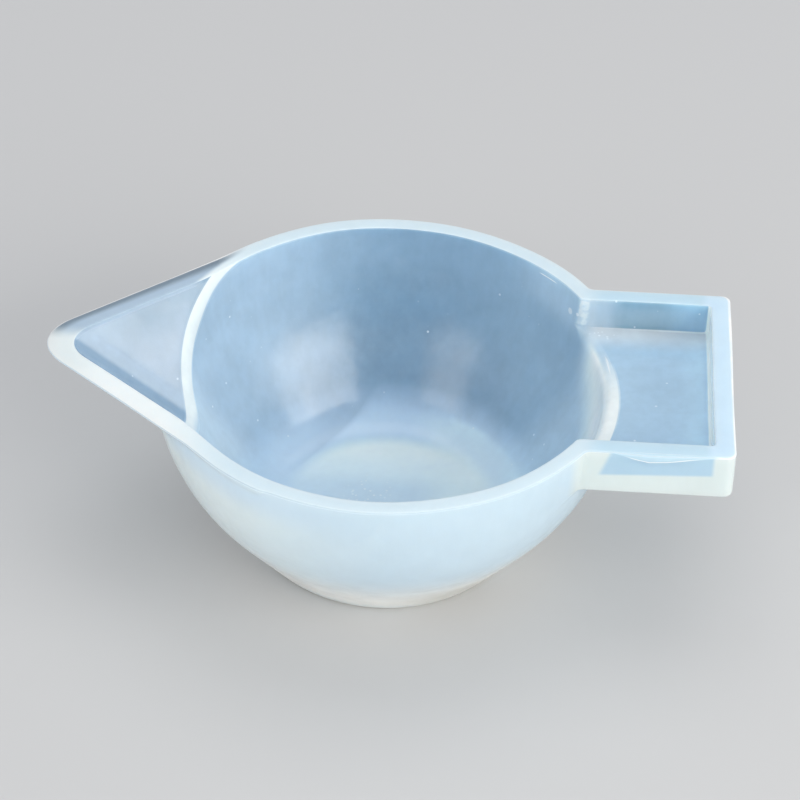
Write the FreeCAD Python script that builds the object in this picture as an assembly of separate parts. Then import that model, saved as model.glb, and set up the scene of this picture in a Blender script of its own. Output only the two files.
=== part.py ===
import FreeCAD, Part

import math
import os
from FreeCAD import Vector

# Hair colour bowl: one soft silicone moulding, a round bowl with a V-shaped pouring spout on the
# -X side and a shallow rectangular tray for a handle on the +X side, all three flush at the rim.
# Frame: millimetres, +Z up, origin on the bowl's axis at the flat base.

# Bowl
RIM_RADIUS = 27.5
HEIGHT = 25.0
RIM_BAND = 1.75                    # height of the band under the rim
RIM_DRAFT = math.radians(3.0)      # lean of that band from the vertical
FOOT_LEAN = math.radians(37.0)     # lean of the cone that stands on the base
WALL = 2.0                         # of the bowl and the spout
FLOOR = 2.5
FLOOR_FILLET = 6.6                 # where the inside of the wall runs into the floor
FOOT_EDGE = 0.4                    # bevel of the base's outer edge

# Pouring spout
SPOUT_HALF_ANGLE = math.radians(40.0)   # half of the angle between the two lips, seen from above
SPOUT_STEEPNESS = math.radians(51.5)    # fall of each side below the horizontal
SPOUT_INSET = 0.1                       # how far inside the rim circle each lip crosses
KEEL_RADIUS = 6.9                       # outside rounding along the keel, and so of the tip

# Handle tray
HANDLE_REACH = 39.7                # from the bowl's axis to the outer end
HANDLE_WIDTH = 30.1
HANDLE_DEPTH = 5.8
HANDLE_SIDE = 2.1
HANDLE_END = 2.3
HANDLE_FLOOR = 1.8
HANDLE_CORNER = 1.2                # outer corners, seen from above
TRAY_FILLET = 0.5                  # inside corners of the tray

# Edges
LIP_EDGE = 0.2                     # bevel of every edge in the rim plane
MOUTH_FILLET = 1.2                 # where the trough and the tray open into the bowl
JOIN_FILLET = 0.8                  # outside, where the handle leaves the bowl

NEAR = 1e-4


def side_section(inset, bottom):
    """Half section bounded by the side moved inwards by inset, from a height up to the rim: the
    cone on the base, part of a sphere and the band under the rim, each tangent to the next. It
    lies in the YZ plane, which keeps the turned surface's seam clear of the spout and handle."""
    sphere = (RIM_RADIUS - RIM_BAND * math.tan(RIM_DRAFT)) / math.cos(RIM_DRAFT)
    centre = HEIGHT - RIM_BAND + sphere * math.sin(RIM_DRAFT)

    def on_sphere(lean):
        reach = sphere - inset
        return Vector(0, reach * math.cos(lean), centre - reach * math.sin(lean))

    def on_line(point, lean, height):
        return Vector(0, point.y + (height - point.z) * math.tan(lean), height)

    high = on_sphere(RIM_DRAFT)
    knee = on_sphere(FOOT_LEAN)
    rim = on_line(high, RIM_DRAFT, HEIGHT)
    low = on_line(knee, FOOT_LEAN, bottom)
    bend = Part.Arc(high, on_sphere(0.5 * (RIM_DRAFT + FOOT_LEAN)), knee).toShape()
    rest = Part.makePolygon([knee, low, Vector(0, 0, bottom), Vector(0, 0, HEIGHT), rim, high])
    return Part.Face(Part.Wire([bend] + rest.Edges))


def turned(section):
    return section.revolve(Vector(0, 0, 0), Vector(0, 0, 1), 360)


def circles_at(shape, height):
    """Full circular edges of a turned solid at a height."""
    flat = [e for e in shape.Edges if e.BoundBox.ZLength < NEAR and len(e.Vertexes) == 1]
    return [e for e in flat if abs(e.BoundBox.ZMin - height) < NEAR]


def bowl_body():
    body = turned(side_section(0.0, 0.0))
    return body.makeChamfer(FOOT_EDGE, circles_at(body, 0.0))


def bowl_hollow():
    hollow = turned(side_section(WALL, FLOOR))
    return hollow.makeFillet(FLOOR_FILLET, circles_at(hollow, FLOOR))


def rim_face(shape):
    """The flat face in the rim plane."""
    level = [face for face in shape.Faces if abs(face.CenterOfMass.z - HEIGHT) < NEAR]
    return max(level, key=lambda face: face.Area)


def spout_wedge(inset, top):
    """Rounded V-shaped wedge under the rim. Its two sides fall from the lips, moved inwards by
    inset across the wall, and meet along a keel that rises to the tip."""
    steep = SPOUT_STEEPNESS
    half = SPOUT_HALF_ANGLE
    lip = RIM_RADIUS - SPOUT_INSET - inset / math.sin(steep)
    rise = math.atan(math.tan(steep) * math.sin(half))
    across = math.sin(half) * math.sin(steep) * math.sin(rise) + math.cos(steep) * math.cos(rise)
    opening = math.atan2(across, math.cos(half) * math.sin(steep))
    radius = KEEL_RADIUS - inset

    tip = Vector(-lip / math.sin(half), 0, HEIGHT)
    along = Vector(-math.cos(rise), 0, math.sin(rise))
    up = Vector(math.sin(rise), 0, math.cos(rise))
    side = Vector(0, 1, 0)
    start = tip - along * (2.0 * RIM_RADIUS)
    tall = 2.0 * RIM_RADIUS

    def at(y, v):
        return start + side * y + up * v

    touch_y = radius * math.cos(opening)
    touch_v = radius / math.tan(opening) * math.cos(opening)
    far_y = tall * math.tan(opening)
    left = Part.makeLine(at(-far_y, tall), at(-touch_y, touch_v))
    keel_low = at(0, radius / math.sin(opening) - radius)
    keel = Part.Arc(at(-touch_y, touch_v), keel_low, at(touch_y, touch_v)).toShape()
    right = Part.makeLine(at(touch_y, touch_v), at(far_y, tall))
    cap = Part.makeLine(at(far_y, tall), at(-far_y, tall))
    section = Part.Face(Part.Wire([left, keel, right, cap]))
    prism = section.extrude(along * (3.0 * RIM_RADIUS))

    # the lips stop where they cross the rim circle, at the foot of the perpendicular to them
    stop = -RIM_RADIUS * math.sin(half)
    size = 4.0 * RIM_RADIUS
    block = Part.makeBox(size, size, size, Vector(stop - size, -0.5 * size, top - size))
    return prism.common(block)


def upright_edges(shape, x):
    """Vertical straight edges of a box at one x."""
    tall = [e for e in shape.Edges if e.BoundBox.XLength < NEAR and e.BoundBox.YLength < NEAR]
    return [e for e in tall if abs(e.BoundBox.XMin - x) < NEAR]


def handle_body():
    inner = 0.5 * RIM_RADIUS
    bottom = Vector(inner, -0.5 * HANDLE_WIDTH, HEIGHT - HANDLE_DEPTH)
    block = Part.makeBox(HANDLE_REACH - inner, HANDLE_WIDTH, HANDLE_DEPTH, bottom)
    return block.makeFillet(HANDLE_CORNER, upright_edges(block, HANDLE_REACH))


def handle_hollow():
    inner = 0.5 * RIM_RADIUS
    outer = HANDLE_REACH - HANDLE_END
    width = HANDLE_WIDTH - 2.0 * HANDLE_SIDE
    floor = HEIGHT - HANDLE_DEPTH + HANDLE_FLOOR
    tall = HEIGHT - floor
    tray = Part.makeBox(outer - inner, width, tall, Vector(inner, -0.5 * width, floor))
    low = [e for e in tray.Edges if e.BoundBox.ZMax < floor + NEAR and e.BoundBox.XMax > inner + NEAR]
    return tray.makeFillet(TRAY_FILLET, low + upright_edges(tray, outer))


def joins(shape, side):
    """Edges below the rim plane where the bowl's turned side meets the spout (side -1) or the
    handle (side +1)."""
    turned = ("Part::GeomSphere", "Part::GeomCone", "Part::GeomToroid")

    def is_join(edge):
        kinds = [face.Surface.TypeId in turned for face in shape.ancestorsOfType(edge, Part.Face)]
        return sorted(kinds) == [False, True]

    low = [edge for edge in shape.Edges if edge.BoundBox.ZMin < HEIGHT - NEAR]
    return [edge for edge in low if side * edge.CenterOfMass.x > NEAR and is_join(edge)]


def outer_form():
    """The moulding filled to the rim."""
    form = bowl_body().fuse([spout_wedge(0.0, HEIGHT), handle_body()]).removeSplitter()
    return form.makeFillet(JOIN_FILLET, joins(form, +1))


def inner_form():
    """What the moulding holds: the bowl's hollow with the trough and the tray open to it."""
    form = bowl_hollow().fuse([spout_wedge(WALL, HEIGHT), handle_hollow()]).removeSplitter()
    return form.makeFillet(MOUTH_FILLET, joins(form, -1) + joins(form, +1))


def moulding():
    shell = outer_form().cut(inner_form()).removeSplitter()
    return shell.makeChamfer(LIP_EDGE, rim_face(shell).Edges).Solids[0]


bowl = moulding()
os.makedirs("parts", exist_ok=True)
bowl.exportStep("parts/bowl.step")
print("bowl: valid", bowl.isValid(), "volume", round(bowl.Volume, 1), "mm3, faces", len(bowl.Faces))
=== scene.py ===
import math

import bpy
import numpy as np
from mathutils import Matrix, Vector


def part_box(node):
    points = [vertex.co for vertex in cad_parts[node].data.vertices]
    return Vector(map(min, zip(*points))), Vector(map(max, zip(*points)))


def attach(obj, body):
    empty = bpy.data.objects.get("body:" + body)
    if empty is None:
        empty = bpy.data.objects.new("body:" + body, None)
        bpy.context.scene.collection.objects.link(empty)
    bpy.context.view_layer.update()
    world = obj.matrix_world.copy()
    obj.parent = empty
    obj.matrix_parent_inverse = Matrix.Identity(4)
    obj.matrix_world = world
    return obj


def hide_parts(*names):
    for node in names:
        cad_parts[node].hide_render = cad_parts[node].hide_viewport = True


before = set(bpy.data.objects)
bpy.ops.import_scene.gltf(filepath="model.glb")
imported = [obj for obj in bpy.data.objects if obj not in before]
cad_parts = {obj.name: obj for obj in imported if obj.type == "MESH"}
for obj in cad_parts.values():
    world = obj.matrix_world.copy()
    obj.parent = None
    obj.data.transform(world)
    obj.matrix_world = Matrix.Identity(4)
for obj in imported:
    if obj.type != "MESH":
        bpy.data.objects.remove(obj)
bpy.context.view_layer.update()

scene = bpy.context.scene
MM = 0.001

# ---------------------------------------------------------------------------------------------
# Camera and floor. The bowl is seen from a little above its front, spout to the left, on a
# plain pale table top. The camera stands close enough for the handle to draw in slightly.
# ---------------------------------------------------------------------------------------------
VIEW_TARGET = Vector((1.743, -7.816, 25.0))
VIEW_AZIMUTH, VIEW_ELEVATION, VIEW_ROLL = map(math.radians, (2.497, 38.965, 1.442))
VIEW_DISTANCE = 332.15
LENS, SENSOR = 131.75, 36.0

back = Vector((math.sin(VIEW_AZIMUTH) * math.cos(VIEW_ELEVATION),
               -math.cos(VIEW_AZIMUTH) * math.cos(VIEW_ELEVATION),
               math.sin(VIEW_ELEVATION)))
right = (-back).cross(Vector((0, 0, 1))).normalized()
up = right.cross(-back)
rolled_right = math.cos(VIEW_ROLL) * right + math.sin(VIEW_ROLL) * up
rolled_up = -math.sin(VIEW_ROLL) * right + math.cos(VIEW_ROLL) * up

camera_data = bpy.data.cameras.new("camera")
camera_data.sensor_width = SENSOR
camera_data.lens = LENS
camera_data.clip_start = 0.01
camera_data.clip_end = 10.0
camera = bpy.data.objects.new("camera", camera_data)
scene.collection.objects.link(camera)
aim = Matrix((rolled_right, rolled_up, back)).transposed().to_4x4()
place = (VIEW_TARGET + back * VIEW_DISTANCE) * MM
camera.matrix_world = Matrix.Translation(place) @ aim
scene.camera = camera
scene.view_settings.view_transform = "Standard"

FLOOR_COLOUR = (0.58, 0.59, 0.60, 1.0)
FLOOR_REACH = 2.5               # metres, each way from the bowl


def plain_mesh(name, points, faces):
    """A mesh object of given points and faces, linked at the origin."""
    mesh = bpy.data.meshes.new(name)
    mesh.from_pydata(points, [], faces)
    thing = bpy.data.objects.new(name, mesh)
    scene.collection.objects.link(thing)
    return thing


corners = [(-1, -1), (1, -1), (1, 1), (-1, 1)]
floor = plain_mesh("floor", [(FLOOR_REACH * i, FLOOR_REACH * j, 0) for i, j in corners],
                   [(0, 1, 2, 3)])
paint = bpy.data.materials.new("table_top")
paint.use_nodes = True
table_shader = paint.node_tree.nodes["Principled BSDF"]
table_shader.inputs["Base Color"].default_value = FLOOR_COLOUR
table_shader.inputs["Roughness"].default_value = 0.8
table_shader.inputs["Specular IOR Level"].default_value = 0.2
floor.data.materials.append(paint)

# ---------------------------------------------------------------------------------------------
# The moulding: bowl, pouring spout and handle tray in one. Clear, slightly milky silicone,
# poured into an open mould and peeled out, so its rim is flat and its walls give a little.
# ---------------------------------------------------------------------------------------------
_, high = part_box("bowl")
HEIGHT = high.z / MM
HANDLE_REACH = high.x / MM
RIM_RADIUS = 27.5
RIM_BAND = 1.75                 # height of the steep band under the rim
RIM_DRAFT = math.radians(3.0)   # lean of that band
FOOT_LEAN = math.radians(37.0)  # lean of the cone on the base
WALL = 2.0
FLOOR_TOP = 2.5
FLOOR_FILLET = 6.6
FOOT_EDGE = 0.45                # rounding of the base's edge
LIP = 0.15                      # rounding of the rim's edges

SPOUT_HALF = math.radians(40.0)     # half the angle between the lips, seen from above
SPOUT_STEEP = math.radians(51.5)    # fall of each side below the horizontal
SPOUT_INSET = 0.1               # how far inside the rim's circle each lip crosses
KEEL_RADIUS = 6.9               # rounding of the outside along the keel

HANDLE_WIDTH = 30.1
HANDLE_DEPTH = 5.8
HANDLE_FLOOR = 1.8
HANDLE_END = 2.3
HANDLE_CORNER = 1.0
HANDLE_BOTTOM = HEIGHT - HANDLE_DEPTH
TRAY_WIDTH = 25.9
TRAY_REACH = HANDLE_REACH - HANDLE_END
TRAY_BOTTOM = HANDLE_BOTTOM + HANDLE_FLOOR
TRAY_CORNER = 0.35

# Widths of the soft joins: outside with the spout and the handle, inside with trough and tray.
SPOUT_JOIN, HANDLE_JOIN, TROUGH_JOIN, TRAY_JOIN = 0.5, 0.6, 1.1, 0.7

TAU = 2.0 * math.pi


def smooth_max(a, b, width):
    """The larger of two arrays, with a parabola of the given width where they cross."""
    near = np.maximum(width - np.abs(a - b), 0.0) / width
    return np.maximum(a, b) + near * near * width * 0.25


def side_radius(z, inset):
    """Radius of the bowl's side at a height, moved inwards by inset: a cone, then a sphere about
    a point on the axis (the root of its radius squared less height squared), then a steep cone."""
    sphere = (RIM_RADIUS - RIM_BAND * math.tan(RIM_DRAFT)) / math.cos(RIM_DRAFT)
    centre = HEIGHT - RIM_BAND + sphere * math.sin(RIM_DRAFT)
    reach = sphere - inset
    top = centre - reach * math.sin(RIM_DRAFT)
    knee = centre - reach * math.sin(FOOT_LEAN)
    ball = np.sqrt(np.maximum(reach ** 2 - (centre - np.clip(z, knee, top)) ** 2, 0.0))
    above = np.maximum(z - top, 0.0) * math.tan(RIM_DRAFT)
    below = np.maximum(knee - z, 0.0) * math.tan(FOOT_LEAN)
    return ball + above - below


def floor_ring():
    """Radius and height of the ring that the floor's fillet is rolled about: a fillet away from
    the wall, measured square to it, and from the floor."""
    centre = FLOOR_TOP + FLOOR_FILLET
    return side_radius(centre, WALL) - FLOOR_FILLET / math.cos(FOOT_LEAN), centre


def hollow_radius(z):
    """Radius of the bowl's inside at a height: its side, with the ring of the floor's fillet
    (ring radius plus the root of fillet squared less height squared) below where they touch."""
    ring, centre = floor_ring()
    touch = centre - FLOOR_FILLET * math.sin(FOOT_LEAN)
    arc = ring + np.sqrt(np.maximum(FLOOR_FILLET ** 2 - (centre - z) ** 2, 0.0))
    return np.where(z < touch, arc, side_radius(z, WALL))


def spout_radius(theta, z, inset):
    """Distance from the axis to the spout's V along a level ray: to its nearer side, which is
    the lip's distance over a cosine, or near the centre line to the ellipse that a level cut
    makes of the rounded keel. It is zero outside the spout's angle."""
    fold = np.abs(np.mod(theta, TAU) - math.pi)
    steep, half = SPOUT_STEEP, SPOUT_HALF
    rise = math.atan(math.tan(steep) * math.sin(half))
    across = math.sin(half) * math.sin(steep) * math.sin(rise) + math.cos(steep) * math.cos(rise)
    opening = math.atan2(across, math.cos(half) * math.sin(steep))
    lip = RIM_RADIUS - SPOUT_INSET - inset / math.sin(steep) - (HEIGHT - z) / math.tan(steep)
    keel = KEEL_RADIUS - inset
    plane = lip / np.cos(np.maximum(0.5 * math.pi - half - fold, 0.0))
    centre = lip / math.sin(half) - keel / (math.sin(opening) * math.sin(rise))
    a, b = keel / math.sin(rise), keel
    c, s = np.cos(fold), np.sin(fold)
    square = (c / a) ** 2 + (s / b) ** 2
    cross = centre * c / a ** 2
    rest = (centre / a) ** 2 - 1.0
    ellipse = (cross + np.sqrt(np.maximum(cross ** 2 - square * rest, 0.0))) / square
    radius = np.where(plane * s > keel * math.cos(opening), plane, np.minimum(plane, ellipse))
    inside = (fold < 0.5 * math.pi - half + 0.02) & (lip > 0.0)
    return np.where(inside, np.maximum(radius, 0.0), 0.0)


def from_handle(theta):
    """Angle from the handle's middle line, either way round, up to half a turn."""
    return np.abs(np.mod(theta + math.pi, TAU) - math.pi)


def tray_radius(theta, half_width, end, corner):
    """Distance from the axis to a rectangle open towards it, along a level ray: half the width
    over a sine, or the reach over a cosine, or the far root of the rounded corner's circle."""
    fold = from_handle(theta)
    c = np.maximum(np.cos(fold), 1e-6)
    s = np.maximum(np.sin(fold), 1e-6)
    to_side, to_end = half_width / s, end / c
    corner_x, corner_y = end - corner, half_width - corner
    along = corner_x * c + corner_y * s
    root = np.sqrt(np.maximum(along ** 2 - corner_x ** 2 - corner_y ** 2 + corner ** 2, 0.0))
    at_corner = (to_end * s > corner_y) & (to_side * c > corner_x)
    radius = np.where(at_corner, along + root, np.minimum(to_side, to_end))
    return np.where(fold < 0.5 * math.pi, radius, 0.0)


def outer_radius(theta, z, with_handle):
    """The moulding's outside along a level ray: bowl, spout and, above its underside, handle."""
    radius = smooth_max(side_radius(z, 0.0), spout_radius(theta, z, 0.0), SPOUT_JOIN)
    handle = tray_radius(theta, 0.5 * HANDLE_WIDTH, HANDLE_REACH, HANDLE_CORNER)
    return np.where(with_handle, smooth_max(radius, handle, HANDLE_JOIN), radius)


def inner_radius(theta, z, with_tray):
    """The moulding's inside along a level ray: hollow, trough and, above its floor, tray."""
    radius = smooth_max(hollow_radius(z), spout_radius(theta, z, WALL), TROUGH_JOIN)
    tray = tray_radius(theta, 0.5 * TRAY_WIDTH, TRAY_REACH, TRAY_CORNER)
    return np.where(with_tray, smooth_max(radius, tray, TRAY_JOIN), radius)


COLUMNS = 520
WALK_STEPS = 14400              # fine steps in which the rim's line is walked
BEND_REACH = 60                 # steps to each side over which its bend is averaged
BEND_LENGTH = 2.2               # millimetres that a step counts longer per radian of bend
PROFILE_POINTS = 400            # fine points on a column's profile
EASE = math.radians(30.0)       # over which the rows beside the handle spread out again
SLIVER = 0.06                   # rise of the ledge, which keeps its rows apart where it ends
FILLET_SHARE = 0.4              # most of a ledge's width that one fillet takes


def column_angles():
    """Angles of the columns, evenly spaced along the rim's outer line. The line is walked in
    fine steps, and a step counts longer where the line turns."""
    theta = np.linspace(0.0, TAU, WALK_STEPS + 1)
    line = outer_radius(theta, HEIGHT, True) * np.exp(1j * theta)
    step = np.diff(line)
    bend = np.abs(np.angle(np.roll(step, -1) / step))
    kernel = np.hanning(2 * BEND_REACH + 1)
    closed = np.r_[bend[-BEND_REACH:], bend, bend[:BEND_REACH]]
    bend = np.convolve(closed, kernel / kernel.sum(), "valid")
    walk = np.r_[0.0, np.cumsum(np.abs(step) + BEND_LENGTH * bend)]
    return np.interp(np.arange(COLUMNS) * walk[-1] / COLUMNS, walk, theta)


def even_heights(theta, radius_at, bottom, top, count):
    """Heights of rows that are evenly spaced along each column's profile, from bottom to top.
    The profile's length is summed in fine steps and looked up again for each row."""
    fine = PROFILE_POINTS
    share = np.linspace(0.0, 1.0, fine)
    z = bottom[:, None] + (top - bottom)[:, None] * share
    radius = radius_at(theta[:, None], z)
    step = np.hypot(np.diff(radius, axis=1), np.diff(z, axis=1))
    walk = np.concatenate([np.zeros((len(theta), 1)), np.cumsum(step, axis=1)], axis=1)
    walk /= walk[:, -1:]
    want = np.linspace(0.0, 1.0, count)
    index = np.clip((walk[:, None, :] <= want[None, :, None]).sum(-1), 1, fine - 1)
    before = np.take_along_axis(walk, index - 1, 1)
    after = np.take_along_axis(walk, index, 1)
    part = (want - before) / np.maximum(after - before, 1e-9)
    share_at = (index - 1 + np.clip(part, 0.0, 1.0)) / (fine - 1)
    return bottom[:, None] + (top - bottom)[:, None] * share_at


def bent(p0, p1, p2, count):
    """Rows along a quadratic curve that leaves p0 towards p1 and arrives at p2 from p1."""
    t = np.linspace(0.0, 1.0, count)[None, :, None]
    return p0[:, None] * (1 - t) ** 2 + p1[:, None] * 2 * t * (1 - t) + p2[:, None] * t ** 2


def straight(p0, p1, count):
    """Rows evenly spaced along the straight line from p0 to p1."""
    t = np.linspace(0.0, 1.0, count)[None, :, None]
    return p0[:, None] * (1 - t) + p1[:, None] * t


def pair(radius, z):
    """Profile points (radius, height) as one array."""
    return np.stack(np.broadcast_arrays(radius, z), axis=-1)


def ledge_profile(theta, radius_at, ledge, ends, rows, fillets):
    """Profile of one side of the moulding, bottom to top, with a flat ledge at one height.
    Columns that cross the ledge have rows along the side up to it, a rounded turn, rows along
    the ledge, a rounded turn, and rows up its wall. The other columns have the same number of
    rows evenly spaced along the plain side, and beyond the ledge's end the rows' heights ease
    from one way to the other. The counts in rows are for the side, turn, ledge, turn and wall,
    and the fillets are the inner and the outer one."""
    bottom, top = (np.full(len(theta), e) for e in ends)
    side_rows, turn_a, ledge_rows, turn_b, wall_rows = rows
    under = radius_at(theta, np.full(len(theta), ledge), False)
    over = radius_at(theta, np.full(len(theta), ledge), True)
    run = over - under
    inner, outer = (np.minimum(fillet, FILLET_SHARE * run) for fillet in fillets)
    side_top = ledge - (inner + SLIVER)
    wall_foot = outer + SLIVER

    side_z = even_heights(theta, lambda t, z: radius_at(t, z, False), bottom, side_top, side_rows)
    side = pair(radius_at(theta[:, None], side_z, False), side_z)
    corner_a = pair(under, ledge - 0.5 * SLIVER)
    corner_b = pair(over, ledge + 0.5 * SLIVER)
    ledge_a = pair(under + inner, ledge - 0.4 * SLIVER)
    ledge_b = pair(over - outer, ledge + 0.4 * SLIVER)
    wall_share = np.linspace(0.0, 1.0, wall_rows)
    wall_z = (ledge + wall_foot)[:, None] + (top - ledge - wall_foot)[:, None] * wall_share
    wall = pair(radius_at(theta[:, None], wall_z, True), wall_z)
    crossing = np.concatenate([
        side[:, :-1],
        bent(side[:, -1], corner_a, ledge_a, turn_a)[:, :-1],
        straight(ledge_a, ledge_b, ledge_rows)[:, :-1],
        bent(ledge_b, corner_b, wall[:, 0], turn_b)[:, :-1],
        wall], axis=1)

    def on_side(z):
        """The side's radius at each height, from the ledge up with what stands on it."""
        return radius_at(theta[:, None], z, z > ledge)

    crossing_z = crossing[..., 1]
    off_side = crossing[..., 0] - on_side(crossing_z)
    plain_z = even_heights(theta, lambda t, z: radius_at(t, z, z > ledge), bottom, top,
                           crossing.shape[1])
    away = from_handle(theta)
    crosses = run > 0.01
    beyond = np.maximum(away - away[crosses].max(), 0.0)
    share = 1.0 - np.clip(beyond / EASE, 0.0, 1.0)
    share = (share * share * (3.0 - 2.0 * share))[:, None]
    z = crossing_z * share + plain_z * (1.0 - share)
    return pair(on_side(z) + off_side * share, z)


def lip_rows(line, normal, count, sign):
    """Rows round a rim edge, from the wall (sign -1, outside) or up to the wall (sign +1,
    inside): a quarter circle of radius LIP, in the plane of the line's level normal."""
    angle = np.linspace(0.0, 0.5 * math.pi, count)[None, :]
    back_off = LIP * (1.0 - np.cos(angle)) * sign
    xy = line[:, None] + normal[:, None] * back_off
    z = np.broadcast_to(HEIGHT - LIP + LIP * np.sin(angle), xy.shape)
    return np.stack([xy.real, xy.imag, z], axis=-1)


def level_normals(line):
    """Outward level normals of a closed line of complex points, from each point's neighbours."""
    along = np.roll(line, -1) - np.roll(line, 1)
    return -1j * along / np.abs(along)


def to_space(profile, theta):
    """Turns profile points (radius, height) of each column into points in space."""
    radius, z = profile[..., 0], profile[..., 1]
    return np.stack([radius * np.cos(theta)[:, None], radius * np.sin(theta)[:, None], z], axis=-1)


DISC_ROWS, EDGE_ROWS, FILLET_ROWS, LIP_ROWS = 9, 5, 10, 5
DISC_HOLE = 0.08                # share of a flat disc's radius at which its last row lies
HANDLE_ROWS, HANDLE_FILLETS = (38, 6, 22, 5, 11), (0.8, 0.3)
TRAY_ROWS, TRAY_FILLETS = (32, 7, 20, 5, 9), (1.2, 0.5)
RIM_SHARES = (0.06, 0.2, 0.4, 0.6, 0.8, 0.94)


def moulding_rows():
    """All rows of the moulding's skin as (columns, rows, 3): base, outside, lip, rim, lip,
    inside and floor, without the two middle points, and for each row 1 in the hollow, else 0."""
    theta = column_angles()
    foot = side_radius(0.0, 0.0)
    ones = np.ones(COLUMNS)
    disc = np.linspace(DISC_HOLE, 1.0, DISC_ROWS)

    base = pair(disc[None, :] * (foot - FOOT_EDGE) * ones[:, None], 0.0)
    foot_z = FOOT_EDGE * math.cos(FOOT_LEAN)
    edge = bent(pair((foot - FOOT_EDGE) * ones, 0.0), pair(foot * ones, 0.0),
                pair(side_radius(foot_z, 0.0) * ones, foot_z), EDGE_ROWS)
    outside = ledge_profile(theta, outer_radius, HANDLE_BOTTOM, (foot_z, HEIGHT - LIP),
                            HANDLE_ROWS, HANDLE_FILLETS)

    ring, centre = floor_ring()
    touch = FLOOR_TOP + FLOOR_FILLET * (1.0 - math.sin(FOOT_LEAN))
    inside = ledge_profile(theta, inner_radius, TRAY_BOTTOM, (touch, HEIGHT - LIP),
                           TRAY_ROWS, TRAY_FILLETS)[:, ::-1]
    lean = np.linspace(FOOT_LEAN, 0.5 * math.pi, FILLET_ROWS)
    fillet = pair((ring + FLOOR_FILLET * np.cos(lean))[None, :] * ones[:, None],
                  centre - FLOOR_FILLET * np.sin(lean))
    inside_floor = pair(disc[None, ::-1] * ring * ones[:, None], FLOOR_TOP)

    outer_line = outer_radius(theta, HEIGHT - LIP, True) * np.exp(1j * theta)
    inner_line = inner_radius(theta, HEIGHT - LIP, True) * np.exp(1j * theta)
    outer_lip = lip_rows(outer_line, level_normals(outer_line), LIP_ROWS, -1.0)
    inner_lip = lip_rows(inner_line, level_normals(inner_line), LIP_ROWS, 1.0)[:, ::-1]
    share = np.array(RIM_SHARES)[None, :, None]
    rim = outer_lip[:, -1:] * (1.0 - share) + inner_lip[:, :1] * share

    outer_skins = [to_space(base[:, :-1], theta), to_space(edge[:, :-1], theta),
                   to_space(outside[:, :-1], theta), outer_lip, rim]
    inner_skins = [inner_lip, to_space(inside[:, 1:], theta), to_space(fillet[:, 1:], theta),
                   to_space(inside_floor[:, 1:], theta)]
    rows = np.concatenate(outer_skins + inner_skins, axis=1)
    first_inner = sum(skin.shape[1] for skin in outer_skins)
    return rows, (np.arange(rows.shape[1]) >= first_inner).astype(float)


def skin_faces(columns, rows):
    """Quads between neighbouring rows and columns, closed round the axis, and triangles to the
    two middle points, which follow the grid in the list of points."""
    i = np.arange(columns)[:, None]
    j = np.arange(rows - 1)[None, :]
    n = (i + 1) % columns
    quads = np.stack([i * rows + j, n * rows + j, n * rows + j + 1, i * rows + j + 1], axis=-1)
    i, n = i[:, 0], n[:, 0]
    under, over = columns * rows, columns * rows + 1
    foot = np.stack([np.full(columns, under), n * rows, i * rows], axis=-1)
    top = np.stack([np.full(columns, over), i * rows + rows - 1, n * rows + rows - 1], axis=-1)
    return quads.reshape(-1, 4), np.concatenate([foot, top])


# The overhang's depth, by x in front of the handle and by the angle in degrees round the bowl.
HANG_ALONG_HANDLE = ((25.6, 0.0), (28.0, 0.7), (30.0, 1.15), (32.0, 1.0), (34.5, 0.6), (38.6, 0.0))
HANG_ROUND_BOWL = ((-160.0, 0.0), (-150.0, 0.4), (-136.0, 0.6), (-117.5, 0.85), (-114.5, 0.0))
HANDLE_FRONT = -14.6            # y that only the handle's front side lies beyond
HANG_OUT = 0.3                  # how far the overhang stands out, per millimetre that it hangs
HANG_SOFT = 0.6                 # height over which it swells out


def overhang(x, y):
    """How far the rim's top, poured a little too full, hangs down over the outside, along the
    handle's front and along the bowl's front left: straight between the given depths."""
    handle = np.interp(x, *zip(*HANG_ALONG_HANDLE))
    bowl_side = np.interp(np.degrees(np.arctan2(y, x)), *zip(*HANG_ROUND_BOWL))
    return np.where(y > 0.0, 0.0, np.where(x > 0.0, handle * (y < HANDLE_FRONT), bowl_side))


rows, hollow_side = moulding_rows()
row_count = rows.shape[1]
hang = overhang(rows[..., 0], rows[..., 1]) * (hollow_side[None, :] < 1.0)
swell = np.clip((rows[..., 2] - HEIGHT + hang + 0.5 * HANG_SOFT) / HANG_SOFT, 0.0, 1.0)
rows[..., 1] -= HANG_OUT * (swell * hang)

# The soft walls give: their radius waves round the axis, more and more towards the rim. Each
# wave has its count round the axis, its phase and its height.
WAVES = ((3.0, 0.8, 0.07), (5.0, -1.1, 0.05), (11.0, 0.0, 0.03))
STILL_RADIUS = 5.0              # inside it the waves die away
angle = np.arctan2(rows[..., 1], rows[..., 0])
rising = np.clip(rows[..., 2] / HEIGHT, 0.0, 1.0) ** 2
give = rising * sum(height * np.sin(count * angle + phase) for count, phase, height in WAVES)
radius = np.hypot(rows[..., 0], rows[..., 1])
rows[..., :2] *= (1.0 + give / np.maximum(radius, STILL_RADIUS))[..., None]

points = np.concatenate([rows.reshape(-1, 3), [[0, 0, 0], [0, 0, FLOOR_TOP]]])
quads, triangles = skin_faces(COLUMNS, row_count)
bowl = plain_mesh("silicone_bowl", (points * MM).tolist(), quads.tolist() + triangles.tolist())
bowl.data.polygons.foreach_set("use_smooth", np.ones(len(bowl.data.polygons), bool))

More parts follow.
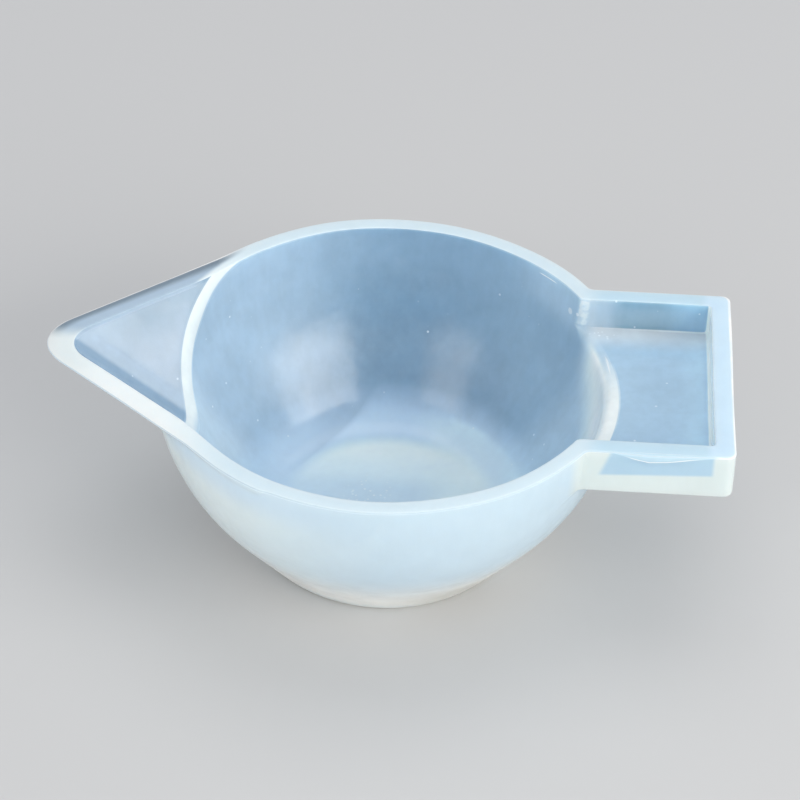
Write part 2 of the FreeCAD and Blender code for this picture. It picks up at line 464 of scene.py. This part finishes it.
CLOUDING = 4.0                  # depth of silicone over which it turns from clear to milky
DEEPEST = 14.0                  # how far below the skin it is felt out
CLEARANCE = 0.04                # added to each depth, so that none lies on the skin itself
CONE = math.radians(28.0)       # lean of the slanted directions
CONE_WAYS = 8
DEPTH_STEPS = 42
STEP_GROWTH = 1.6               # a step's depth is its share of the steps to this power
TABLE_TURNS, TABLE_LEVELS = 2881, 501   # entries in the tables of radii
MILK_ROUNDS = 2                 # of averaging with the points beside


def in_silicone(x, y, z, outside, inside):
    """Whether points lie in the moulding, looked up in tables of its two radii by angle and
    height."""
    turns, levels = outside.shape[0] - 1, outside.shape[1] - 1
    turn = np.round(np.mod(np.arctan2(y, x), TAU) / TAU * turns).astype(int)
    level = np.clip(np.round(z / HEIGHT * levels), 0, levels).astype(int)
    radius = np.hypot(x, y)
    within = (radius < outside[turn, level]) & ((radius > inside[turn, level]) | (z < FLOOR_TOP))
    return within & (z > 0.0) & (z < HEIGHT)


def depth_of_silicone(points, normals):
    """How milky each point looks: one less the decay over the length of silicone below it,
    averaged over a narrow cone of directions into the wall. A rim edge or a wall's end is deep
    and white, and a plain wall is shallow and clearer."""
    theta = np.linspace(0.0, TAU, TABLE_TURNS)[:, None]
    z = np.linspace(0.0, HEIGHT, TABLE_LEVELS)[None, :]
    outside = outer_radius(theta, z, z > HANDLE_BOTTOM)
    inside = np.where(z < FLOOR_TOP, 0.0, inner_radius(theta, z, z > TRAY_BOTTOM))
    helper = np.where(np.abs(normals[:, 2:]) < 0.9, [[0.0, 0.0, 1.0]], [[1.0, 0.0, 0.0]])
    first = np.cross(normals, helper)
    first /= np.maximum(np.linalg.norm(first, axis=1, keepdims=True), 1e-9)
    second = np.cross(normals, first)
    reach = DEEPEST * (np.arange(1, DEPTH_STEPS + 1) / DEPTH_STEPS) ** STEP_GROWTH
    total = np.zeros(len(points))
    ways = [(0.0, 0.0)] + [(CONE, n * TAU / CONE_WAYS) for n in range(CONE_WAYS)]
    for lean, spin in ways:
        aside = math.cos(spin) * first + math.sin(spin) * second
        way = -math.cos(lean) * normals + math.sin(lean) * aside
        still = np.ones(len(points), bool)
        length = np.zeros(len(points))
        for near, far in zip(np.r_[0.0, reach[:-1]], reach):
            at = points + way * (0.5 * (near + far) + CLEARANCE)
            still &= in_silicone(at[:, 0], at[:, 1], at[:, 2], outside, inside)
            length += still * (far - near)
        total += 1.0 - np.exp(-length / CLOUDING)
    return total / len(ways)


def soften(grid, rounds):
    """Averages a (columns, rows) grid with its neighbours: half itself, a quarter each side."""
    for _ in range(rounds):
        grid = 0.5 * grid + 0.25 * (np.roll(grid, 1, 0) + np.roll(grid, -1, 0))
        padded = np.pad(grid, ((0, 0), (1, 1)), mode="edge")
        grid = 0.5 * grid + 0.25 * (padded[:, :-2] + padded[:, 2:])
    return grid


def add_attribute(thing, name, values):
    """Stores one number per point on a mesh."""
    layer = thing.data.attributes.new(name, "FLOAT", "POINT")
    layer.data.foreach_set("value", np.asarray(values, np.float32))


# What the material needs to know about each point of the skin: how milky it is, whether it is
# in the hollow, how far past the mouth of the trough or tray, how far in from the rim's outer
# line, and how far up the overhang.
normals = np.zeros(len(points) * 3, np.float32)
bowl.data.vertex_normals.foreach_get("vector", normals)
milk = depth_of_silicone(points, normals.reshape(-1, 3).astype(float))
milk[:-2] = soften(milk[:-2].reshape(COLUMNS, row_count), MILK_ROUNDS).ravel()

MOUTH_NEAR, MOUTH_FAR = -3.0, 9.0   # limits of the distances past a mouth
NO_OVERHANG = -2.0
from_axis = np.hypot(points[:, 0], points[:, 1])
turn = np.arctan2(points[:, 1], points[:, 0])
level = points[:, 2]
inner = np.r_[np.tile(hollow_side, COLUMNS), 0.0, 1.0]
left = points[:, 0] < 0.0
hollow_here = hollow_radius(np.maximum(level, FLOOR_TOP + 0.01))
trough_here = spout_radius(turn, level, WALL)
tray_here = tray_radius(turn, 0.5 * TRAY_WIDTH, TRAY_REACH, TRAY_CORNER)
past_mouth = np.clip(trough_here - hollow_here, MOUTH_NEAR, MOUTH_FAR)
past_corner = np.clip(tray_here - hollow_here, MOUTH_NEAR, MOUTH_FAR)
hang_here = overhang(points[:, 0], points[:, 1]) * (inner < 1.0)
add_attribute(bowl, "milk", milk)
add_attribute(bowl, "inner", inner)
add_attribute(bowl, "mouth", np.where(left & (inner > 0.0), past_mouth, MOUTH_NEAR))
add_attribute(bowl, "corner", np.where(~left & (inner > 0.0), past_corner, MOUTH_NEAR))
add_attribute(bowl, "rim_gap", outer_radius(turn, HEIGHT, True) - from_axis)
add_attribute(bowl, "overhang", np.where(hang_here > 0.0, level - HEIGHT + hang_here, NO_OVERHANG))

silicone = bpy.data.materials.new("silicone")
silicone.use_nodes = True
nodes, links = silicone.node_tree.nodes, silicone.node_tree.links
shader = nodes["Principled BSDF"]
shader.inputs["IOR"].default_value = 1.41
shader.inputs["Specular IOR Level"].default_value = 0.9
shader.inputs["Subsurface Weight"].default_value = 0.5
shader.inputs["Subsurface Radius"].default_value = (0.9, 1.0, 1.1)
shader.inputs["Subsurface Scale"].default_value = 0.0025


def feed(socket, value):
    """Links a socket to a value, or sets it where the value is a number or a colour."""
    if isinstance(value, tuple):
        socket.default_value = (*value, 1.0)
    elif isinstance(value, float):
        socket.default_value = value
    else:
        links.new(value, socket)


def attribute(name):
    """One of the skin's attributes."""
    node = nodes.new("ShaderNodeAttribute")
    node.attribute_name = name
    return node.outputs["Fac"]


def times(vector, factor):
    """A vector or a colour times a factor."""
    node = nodes.new("ShaderNodeVectorMath")
    node.operation = "SCALE"
    feed(node.inputs[0], vector)
    feed(node.inputs["Scale"], factor)
    return node.outputs["Vector"]


def parts(vector):
    """The three parts of a vector."""
    node = nodes.new("ShaderNodeSeparateXYZ")
    feed(node.inputs["Vector"], vector)
    return [node.outputs[name] for name in "XYZ"]


def maths(kind, *values):
    """A maths node of one or two values, each a socket or a number."""
    node = nodes.new("ShaderNodeMath")
    node.operation = kind
    for socket, value in zip(node.inputs, values):
        feed(socket, value)
    return node.outputs["Value"]


def both(*masks):
    """The product of several masks."""
    result = masks[0]
    for mask in masks[1:]:
        result = maths("MULTIPLY", result, mask)
    return result


def either(*masks):
    """The largest of several masks."""
    result = masks[0]
    for mask in masks[1:]:
        result = maths("MAXIMUM", result, mask)
    return result


def without(*masks):
    """One less the product of several masks."""
    return maths("SUBTRACT", 1.0, both(*masks))


def slanted(first, second, slope):
    """The first coordinate less a share of the second, for an edge that runs aslant."""
    return maths("SUBTRACT", first, both(second, slope))


def hypotenuse(first, second):
    """The root of the sum of two squares."""
    squares = maths("ADD", maths("MULTIPLY", first, first), maths("MULTIPLY", second, second))
    return maths("SQRT", squares)


def fade(value, start, end, low=0.0, high=1.0):
    """A value mapped smoothly from low at start to high at end, and held beyond them."""
    node = nodes.new("ShaderNodeMapRange")
    node.interpolation_type = "SMOOTHSTEP"
    ends = {"Value": value, "From Min": start, "From Max": end, "To Min": low, "To Max": high}
    for name, end_value in ends.items():
        feed(node.inputs[name], end_value)
    return node.outputs["Result"]


def between(value, start, end, soft):
    """A mask of a value that lies from start to end, fading over soft at each end."""
    return both(fade(value, start, start + soft), fade(value, end, end - soft))


def mixed(mask, first, second):
    """The first colour where the mask is 0, and the second where it is 1."""
    node = nodes.new("ShaderNodeMix")
    node.data_type = "RGBA"
    colours = [i for i in node.inputs if i.type == "RGBA"]
    feed(colours[0], first)
    feed(colours[1], second)
    feed(node.inputs["Factor"], mask)
    return [o for o in node.outputs if o.type == "RGBA"][0]


def layered(colour, *layers):
    """A colour with others laid over it in turn, each given as (mask, colour)."""
    for mask, over in layers:
        colour = mixed(mask, colour, over)
    return colour


def spot(middle, size):
    """A mask of a small round spot, by the distance from its middle in millimetres."""
    apart = nodes.new("ShaderNodeVectorMath")
    apart.operation = "DISTANCE"
    feed(apart.inputs[0], place_mm)
    apart.inputs[1].default_value = middle
    return fade(apart.outputs["Value"], size, 0.6 * size)


def noise(scale, detail, rough, where=None):
    """Fractal noise on coordinates in millimetres, with scale in features per millimetre and
    detail in octaves, each rough times as strong as the one before."""
    node = nodes.new("ShaderNodeTexNoise")
    node.inputs["Scale"].default_value = scale
    node.inputs["Detail"].default_value = detail
    node.inputs["Roughness"].default_value = rough
    feed(node.inputs["Vector"], where or place_mm)
    return node.outputs["Fac"]


def grains(scale):
    """Cells, scale of them per millimetre: the distance from the nearest cell's middle, and a
    number drawn for each cell."""
    node = nodes.new("ShaderNodeTexVoronoi")
    node.inputs["Scale"].default_value = scale
    feed(node.inputs["Vector"], place_mm)
    lot = nodes.new("ShaderNodeSeparateColor")
    feed(lot.inputs["Color"], node.outputs["Color"])
    return node.outputs["Distance"], lot.outputs["Red"]


# Where a point lies in millimetres, which way it faces, and the zones that colours share. The
# web is the bowl's wall where the tray's floor crosses it. Its edge is an arc about a point a
# little in front of the axis.
WEB_FORWARD = 0.8
place_mm = times(nodes.new("ShaderNodeTexCoord").outputs["Object"], 1.0 / MM)
x, y, z = parts(place_mm)
facing_x, facing_y, facing_z = parts(nodes.new("ShaderNodeNewGeometry").outputs["Normal"])
axis_reach = hypotenuse(x, y)
web_reach = hypotenuse(x, maths("ADD", y, WEB_FORWARD))
off_middle = maths("ABSOLUTE", y)
mouth = attribute("mouth")
rim_gap = attribute("rim_gap")
hang_level = attribute("overhang")
inside = attribute("inner")
outside = without(inside)
in_trough = fade(mouth, -0.2, 0.5)
in_tray = both(inside, fade(x, 22.0, 24.5), fade(z, TRAY_BOTTOM - 0.5, TRAY_BOTTOM - 0.1))
under_tray = both(inside, fade(x, 19.0, 21.5), fade(off_middle, 13.2, 12.2))
spout_back = both(fade(y, 0.0, 3.0), fade(x, -18.0, -22.0))
right_end = fade(x, 22.0, 25.0)

# The bowl's thin inner wall, its colour painted with the light that comes through the walls:
# darkest at the back and low down, paler higher up, to the left, the right and the front, with
# painted light glowing below the tray.
WALL_LOW = (0.205, 0.35, 0.495)
WALL_HIGH = (0.26, 0.405, 0.545)
WALL_LEFT = (0.425, 0.58, 0.72)
WALL_RIGHT = (0.335, 0.50, 0.64)
WALL_FRONT_LEFT = (0.57, 0.72, 0.84)
WALL_FRONT_RIGHT = (0.485, 0.65, 0.775)
WEB_PAINTED_LIGHT = (0.88, 0.99, 1.0)
web_painted_light_mask = both(fade(x, 17.0, 21.0), fade(slanted(z, y, 0.45), 10.5, 16.5), fade(y, 12.0, 7.5))
wall_in = layered(
    WALL_LOW,
    (fade(z, 13.0, 21.0), WALL_HIGH),
    (fade(x, -1.0, -19.0), WALL_LEFT),
    (fade(x, 4.0, 20.0), WALL_RIGHT),
    (both(fade(x, -6.0, -16.0), fade(y, 7.5, 2.0)), WALL_FRONT_LEFT),
    (both(fade(x, 8.0, 16.0), fade(y, 11.5, 5.0)), WALL_FRONT_RIGHT),
    (both(fade(x, 12.5, 20.0), fade(z, 18.5, 22.2)), WALL_FRONT_RIGHT),
    (web_painted_light_mask, WEB_PAINTED_LIGHT))

# The floor, in painted light: a flat disc painted with the light it catches, darker in its
# middle with painted shade, and the fillet round it, which is bluer and painted as lit up to a
# slanting edge at the left.
FLOOR_FRONT = (0.75, 0.90, 1.0)
FLOOR_MIDDLE_PAINTED_SHADE = (0.625, 0.785, 0.91)
FLOOR_BACK = (0.825, 0.97, 1.0)
ROUND_LEFT = (0.555, 0.735, 0.905)
ROUND_RIGHT = (0.66, 0.83, 0.97)
flat_floor = layered(
    FLOOR_FRONT,
    (fade(y, 6.5, 2.5), FLOOR_MIDDLE_PAINTED_SHADE),
    (either(fade(y, 6.0, 10.0), fade(x, 2.0, 9.0, 0.0, 0.6)), FLOOR_BACK))
round_floor = mixed(fade(x, 1.0, 8.0), ROUND_LEFT, ROUND_RIGHT)
flat_reach = maths("SUBTRACT", axis_reach, fade(x, 4.0, 10.0, 0.0, 0.9))
floor_painted_light = mixed(fade(flat_reach, 13.4, 10.7), round_floor, flat_floor)
lit_ring = either(fade(axis_reach, 19.2, 15.0),
                  both(fade(x, 3.0, 8.0), fade(axis_reach, 17.8, 16.0)))
lit_aslant = either(fade(slanted(x, y, 0.76), -17.6, -15.2), fade(x, -7.0, -12.0, 0.6, 0.92))
lit_floor = both(lit_ring, fade(z, 8.0, 6.0), lit_aslant)

# The trough: its back wall, darker towards the top; its rounded keel, paler with painted light,
# also towards the tip; and its front wall, which faces back, darker with painted shade.
TROUGH_LOW = (0.365, 0.49, 0.615)
TROUGH_HIGH = (0.26, 0.39, 0.51)
TROUGH_KEEL_PAINTED_LIGHT = (0.48, 0.605, 0.725)
TROUGH_FRONT_PAINTED_SHADE = (0.28, 0.42, 0.565)
trough = layered(
    TROUGH_LOW,
    (fade(z, 20.0, 24.5), TROUGH_HIGH),
    (fade(x, -28.5, -35.0, 0.0, 0.4), TROUGH_KEEL_PAINTED_LIGHT),
    (fade(facing_y, -0.6, -0.42), TROUGH_KEEL_PAINTED_LIGHT),
    (fade(facing_y, -0.22, -0.03), TROUGH_FRONT_PAINTED_SHADE))

# The tray: its floor and the wall along its back, each paler towards the end with painted light,
# the floor also paler along its back with painted light and the wall paler at its start; and the
# wall at its end, which is painted light, nearly white.
TRAY_THIN = (0.395, 0.58, 0.74)
TRAY_END_PAINTED_LIGHT = (0.50, 0.71, 0.88)
TRAY_BACK_PAINTED_LIGHT = (0.67, 0.74, 0.79)
TRAY_WALL = (0.25, 0.415, 0.54)
TRAY_WALL_END_PAINTED_LIGHT = (0.35, 0.57, 0.74)
TRAY_WALL_START = (0.44, 0.58, 0.69)
TRAY_STOP_PAINTED_LIGHT = (0.84, 0.97, 1.0)
tray = layered(TRAY_THIN, (fade(x, 31.0, 36.5), TRAY_END_PAINTED_LIGHT), (fade(y, 8.0, 12.6), TRAY_BACK_PAINTED_LIGHT))
tray_wall = layered(TRAY_WALL, (fade(x, 31.0, 36.0), TRAY_WALL_END_PAINTED_LIGHT),
                    (fade(x, 27.6, 24.8), TRAY_WALL_START))
tray_stop_painted_light = both(in_tray, fade(facing_x, -0.2, -0.55), fade(x, 35.5, 36.5))
clear_in = layered(
    wall_in,
    (lit_floor, floor_painted_light),
    (in_trough, trough),
    (in_tray, tray),
    (both(in_tray, fade(facing_y, -0.4, -0.8)), tray_wall))

# The outside, in painted light: whiter to the left and, less blue, towards the base, with a
# grey patch of painted shade at the base's right and a painted highlight as a bright line round
# its foot.
OUTSIDE_RIGHT = (0.555, 0.695, 0.785)
OUTSIDE_LEFT = (0.77, 0.87, 0.89)
OUTSIDE_LEFT_HIGH = (0.66, 0.80, 0.91)
OUTSIDE_LOW_PAINTED_LIGHT = (0.92, 0.92, 0.88)
BASE_RIGHT_PAINTED_SHADE = (0.63, 0.63, 0.59)
FOOT_HIGHLIGHT = (0.84, 0.84, 0.75)
left_out_painted_light = mixed(fade(z, 19.5, 23.5), OUTSIDE_LEFT, OUTSIDE_LEFT_HIGH)
clear_out = layered(OUTSIDE_RIGHT, (fade(x, 2.0, -20.0), left_out_painted_light),
                    (fade(z, 13.0, 2.0), OUTSIDE_LOW_PAINTED_LIGHT))
base_right_painted_shade = both(outside, fade(z, 7.5, 3.0), fade(x, 0.0, 9.0), fade(y, -8.0, -13.0))
foot = both(outside, fade(z, 0.5, 0.2), fade(z, 0.02, 0.1))

# Thick silicone, which is milky: what lies deep, the ridge round the trough's mouth, the web,
# and the lines along the tray's back and at its corners with the bowl, which are partly milky
# and partly painted highlights.
THICK = (0.80, 0.88, 0.90)
past_mouth = maths("SUBTRACT", mouth, fade(z, 20.5, 24.5, 0.0, 0.55))
short_of_mouth = maths("ADD", mouth, fade(y, 3.0, -3.0, 0.0, 0.4))
ridge = both(fade(past_mouth, -1.3, -0.85), fade(short_of_mouth, 0.8, 0.5), fade(z, 11.0, 14.0))
web = both(under_tray, fade(y, 14.0, -4.0, 0.5, 1.0), fade(z, 12.0, 20.8),
           fade(web_reach, 23.0, 26.0), fade(web_reach, 27.05, 26.75),
           fade(z, TRAY_BOTTOM + 0.9, TRAY_BOTTOM + 0.4))
back_line_and_highlight = both(in_tray, between(y, 0.5 * TRAY_WIDTH - 0.42, 0.5 * TRAY_WIDTH + 0.02, 0.12),
                 fade(z, TRAY_BOTTOM + 0.55, TRAY_BOTTOM + 0.35),
                 fade(x, 23.0, 24.5), fade(x, 24.0, 34.0, 0.62, 1.0))
corner_line_and_highlight = both(between(attribute("corner"), -1.1, 1.8, 1.1),
                   fade(z, TRAY_BOTTOM - 0.3, TRAY_BOTTOM + 0.3), fade(off_middle, 10.5, 11.5))
corner_cloud = fade(noise(1.2, 2.0, 0.6), 0.3, 0.7, 0.5, 0.66)

# The same depth looks clearer beside the handle, on the tray's floor, along the trough's back,
# on the bowl's floor and outside below the handle.
beside_handle = both(inside, fade(x, 13.0, 17.0), fade(z, 15.0, 19.0), fade(x, 27.0, 25.0))
on_tray_floor = both(in_tray, fade(web_reach, 26.9, 27.3), fade(facing_z, 0.6, 0.9), 0.6)
on_floor = both(inside, fade(z, 7.0, 5.0), fade(axis_reach, 10.5, 13.0, 0.55, 0.65))
below_handle = both(outside, fade(x, 14.0, 19.0), fade(x, 25.0, 22.5), fade(z, 19.0, 20.5), 0.45)
deep = both(attribute("milk"), without(beside_handle, 0.5), without(on_tray_floor),
            without(in_trough, fade(y, -1.0, 1.0), 0.4), without(on_floor), without(below_handle))
milky = either(deep, both(ridge, 0.7), both(web, 0.75), both(back_line_and_highlight, 0.66),
               both(corner_line_and_highlight, corner_cloud))
cloudy = both(maths("MULTIPLY", maths("SUBTRACT", noise(0.5, 4.0, 0.6), 0.5), 0.07),
              without(outside, 0.8))
inner_lip = both(inside, fade(z, HEIGHT - 0.35, HEIGHT - 0.2), fade(facing_z, 0.95, 0.7),
                 without(ridge))
thickness = both(fade(maths("ADD", milky, cloudy), 0.38, 0.76), without(inner_lip, 0.6))

# The handle's front, back and end are clear only where the tray is behind them.
HANDLE_THIN = (0.425, 0.605, 0.73)
HANDLE_THICK = (0.655, 0.74, 0.74)
on_handle = both(outside, fade(x, 21.0, 22.5), fade(z, HANDLE_BOTTOM - 0.2, HANDLE_BOTTOM + 0.1),
                 either(fade(off_middle, 14.2, 14.8), fade(x, 38.4, 39.0)))
side_window = both(outside, fade(slanted(x, z, 0.35), 16.6, 17.4), fade(x, 37.5, 36.9),
                   fade(slanted(z, x, 0.045), 20.3, 20.8),
                   fade(maths("ABSOLUTE", facing_y), 0.7, 0.9))
end_window = both(outside, fade(facing_x, 0.7, 0.9), fade(x, 38.5, 39.2), fade(z, 21.3, 21.8),
                  fade(off_middle, 13.1, 12.5))
window = either(side_window, end_window)

# The rim, which is whitest along the spout's front with painted light and dark along the spout's
# back with painted shade, with the overhang in its colour, white lines of painted highlight along
# its edges, and painted shade on its outer lip at the front.
RIM = (0.625, 0.76, 0.845)
RIM_SPOUT_PAINTED_LIGHT = (0.81, 0.89, 0.92)
RIM_TIP = (0.72, 0.80, 0.82)
RIM_HANDLE = (0.51, 0.69, 0.81)
RIM_END = (0.58, 0.75, 0.90)
RIM_BACK_PAINTED_SHADE = (0.15, 0.205, 0.26)
RIM_BACK_PAINTED_SHADE_INNER = (0.40, 0.525, 0.645)
LIP_FRONT_PAINTED_SHADE = (0.50, 0.635, 0.735)
LIP_BACK_PAINTED_SHADE = (0.38, 0.50, 0.62)
WHITE = (0.92, 0.95, 0.96)
flat_top = both(fade(z, HEIGHT - 0.16, HEIGHT - 0.06), fade(facing_z, 0.6, 0.9))
rim_back = both(spout_back, fade(axis_reach, 26.3, 27.1))
rim = layered(
    RIM,
    (fade(x, -16.0, -26.0), RIM_SPOUT_PAINTED_LIGHT),
    (fade(x, -32.0, -37.0), RIM_TIP),
    (right_end, RIM_HANDLE),
    (fade(x, 36.0, 37.4), RIM_END),
    (rim_back, mixed(fade(rim_gap, 0.55, 2.0), RIM_BACK_PAINTED_SHADE, RIM_BACK_PAINTED_SHADE_INNER)))
hanging = both(fade(hang_level, -0.06, 0.05), fade(x, 0.0, 20.0, 0.6, 1.0))
hanging_highlight = both(between(hang_level, -0.08, 0.16, 0.1), fade(x, 27.0, 29.0),
                    fade(x, 37.0, 33.0))
lip_back = both(rim_back, inside, fade(z, HEIGHT - 0.45, HEIGHT - 0.25), without(ridge))
lip_front = both(outside, fade(z, HEIGHT - 0.4, HEIGHT - 0.22), fade(facing_z, 0.05, 0.35),
                 fade(facing_z, 0.98, 0.85), fade(facing_y, 0.0, -0.3))
near_top = fade(z, HEIGHT - 0.3, HEIGHT - 0.15)
spout_highlight = both(spout_back, near_top, fade(rim_gap, 0.42, 0.25))
handle_highlight = both(outside, right_end, near_top, fade(rim_gap, 0.32, 0.14),
                   either(fade(y, 0.0, 10.0), fade(x, 37.0, 38.0)))
broken = fade(noise(0.25, 2.0, 0.5), 0.4, 0.6, 0.5, 0.85)
# Among these layers: painted light on the tray's end wall, painted shade at the base's right and on
# the spout's back lip and the front's outer lip, and painted highlights along the overhang's edge,
# the spout's back, the handle's rim and round the foot.
colour = layered(
    mixed(inside, clear_out, clear_in),
    (thickness, THICK),
    (tray_stop_painted_light, TRAY_STOP_PAINTED_LIGHT),
    (both(base_right_painted_shade, 0.85), BASE_RIGHT_PAINTED_SHADE),
    (on_handle, HANDLE_THICK),
    (window, HANDLE_THIN),
    (lip_back, LIP_BACK_PAINTED_SHADE),
    (either(flat_top, hanging), rim),
    (hanging_highlight, WHITE),
    (lip_front, LIP_FRONT_PAINTED_SHADE),
    (spout_highlight, WHITE),
    (both(handle_highlight, broken), WHITE),
    (both(foot, 0.7), FOOT_HIGHLIGHT))

# Mottling, and faint streaks down the walls.
stretched = nodes.new("ShaderNodeMapping")
stretched.inputs["Scale"].default_value = (1.0, 1.0, 0.3)
feed(stretched.inputs["Vector"], place_mm)
mottle = fade(noise(0.22, 4.0, 0.6), 0.3, 0.7, -0.045, 0.04)
streak = fade(noise(0.9, 2.0, 0.5, stretched.outputs["Vector"]), 0.3, 0.7, -0.02, 0.02)
uneven = both(maths("ADD", mottle, streak), without(outside, 0.7), fade(z, 3.0, 5.0, 0.45, 1.0))
colour = times(colour, maths("ADD", uneven, 1.0))

# Fine bright lines that follow the web's edge, and specks: single ones anywhere inside, dust on
# the floor and tiny bubbles on the tray.
SPECK = (0.85, 0.94, 1.0)
lines_at = nodes.new("ShaderNodeCombineXYZ")
feed(lines_at.inputs["X"], both(web_reach, 2.6))
feed(lines_at.inputs["Y"], both(y, 0.12))
fine_lines = both(under_tray, between(web_reach, 25.2, 27.0, 0.4), between(y, 1.0, 11.0, 2.5),
                  fade(z, 16.0, 18.0),
                  fade(noise(1.0, 2.0, 0.5, lines_at.outputs["Vector"]), 0.56, 0.66))
speck_gap, speck_lot = grains(0.8)
single = both(inside, fade(speck_gap, 0.15, 0.07), fade(speck_lot, 0.84, 0.92))
grain_gap, grain_lot = grains(2.0)
grain = both(fade(grain_gap, 0.38, 0.2), fade(grain_lot, 0.45, 0.6))
dusty = both(inside, fade(z, 4.0, 3.0), between(x, -6.0, 1.5, 2.5), between(y, -1.0, 6.0, 2.5))
bubbly = both(inside, between(x, 23.0, 26.0, 0.8), between(y, 9.8, 12.6, 0.8),
              between(z, 20.5, 21.6, 0.4))
speck = either(single, both(grain, dusty), both(grain, bubbly))

# A scratch under the rim and two bubbles beside the handle's corner.
scratch = both(inside, fade(y, 10.0, 12.0), between(x, 16.9, 19.3, 0.5),
               between(z, HEIGHT - 0.86, HEIGHT - 0.66, 0.06))
bubbles = either(spot((20.9, 14.4, 22.1), 0.5), spot((21.75, 13.25, 22.5), 0.28))
marks = both(either(scratch, both(bubbles, 0.62)), inside, 0.92)
colour = layered(colour, (both(fine_lines, 0.6), WHITE), (both(speck, 0.62), SPECK), (marks, WHITE))
feed(shader.inputs["Base Color"], colour)

# The skin is glossy with smudges, duller at the rim, the lips and the ridge, and gently wavy.
BUMP_HEIGHT = 0.1 * MM
smudge = fade(noise(0.35, 3.0, 0.6), 0.35, 0.7, 0.19, 0.262)
rough = maths("ADD", smudge, both(fade(z, HEIGHT - 0.3, HEIGHT - 0.1), 0.14))
rough = maths("ADD", rough, both(either(ridge, lip_back, lip_front), 0.3))
feed(shader.inputs["Roughness"], rough)
bump = nodes.new("ShaderNodeBump")
bump.inputs["Distance"].default_value = BUMP_HEIGHT
waves = maths("ADD", both(noise(0.28, 2.0, 0.4), 0.8), both(noise(5.0, 2.0, 0.5), 0.06))
feed(bump.inputs["Height"], waves)
feed(shader.inputs["Normal"], bump.outputs["Normal"])
bowl.data.materials.append(silicone)

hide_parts("bowl")
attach(bowl, "root")

# ---------------------------------------------------------------------------------------------
# Studio light: warm windows, two side by side at the right and a dimmer one at the left, two
# low white cards in front, a soft panel overhead behind, and the pale room all round.
# ---------------------------------------------------------------------------------------------
LAMP_AIM = Vector((0, 0, 0.012))
WHITE_LIGHT = (1.0, 1.0, 1.0)
WINDOW_TINT = (1.0, 0.94, 0.86)
ROOM_TINT = (0.99, 1.0, 1.03, 1.0)
ROOM_STRENGTH = 0.65


def soft_panel(name, azimuth, elevation, distance, size, radiance, tint=WHITE_LIGHT):
    """A rectangular area lamp that faces the bowl from a direction in degrees, at a distance in
    metres, its power being radiance times pi times its area."""
    turn, tilt = math.radians(azimuth), math.radians(elevation)
    way = Vector((math.cos(turn) * math.cos(tilt), math.sin(turn) * math.cos(tilt), math.sin(tilt)))
    lamp = bpy.data.lights.new(name, "AREA")
    lamp.shape = "RECTANGLE"
    lamp.size, lamp.size_y = size
    lamp.energy = radiance * math.pi * size[0] * size[1]
    lamp.color = tint
    holder = bpy.data.objects.new(name, lamp)
    scene.collection.objects.link(holder)
    holder.location = way * distance + LAMP_AIM
    holder.rotation_euler = (-way).to_track_quat("-Z", "Y").to_euler()


soft_panel("window_right", -43.0, 26.0, 0.6, (0.36, 0.3), 4.1, WINDOW_TINT)
soft_panel("window_edge", -17.5, 26.5, 0.6, (0.18, 0.26), 3.3, WINDOW_TINT)
soft_panel("window_left", -129.0, 26.0, 0.6, (0.28, 0.26), 2.2, WINDOW_TINT)
soft_panel("card_low", -92.0, 5.0, 0.5, (0.8, 0.12), 1.3)
soft_panel("card_right", -40.0, 5.5, 0.5, (0.28, 0.11), 1.5)
soft_panel("panel_over", 80.0, 70.0, 0.9, (0.6, 0.6), 1.25)

world = bpy.data.worlds.new("room")
scene.world = world
world.use_nodes = True
background = world.node_tree.nodes["Background"]
background.inputs["Color"].default_value = ROOM_TINT
background.inputs["Strength"].default_value = ROOM_STRENGTH
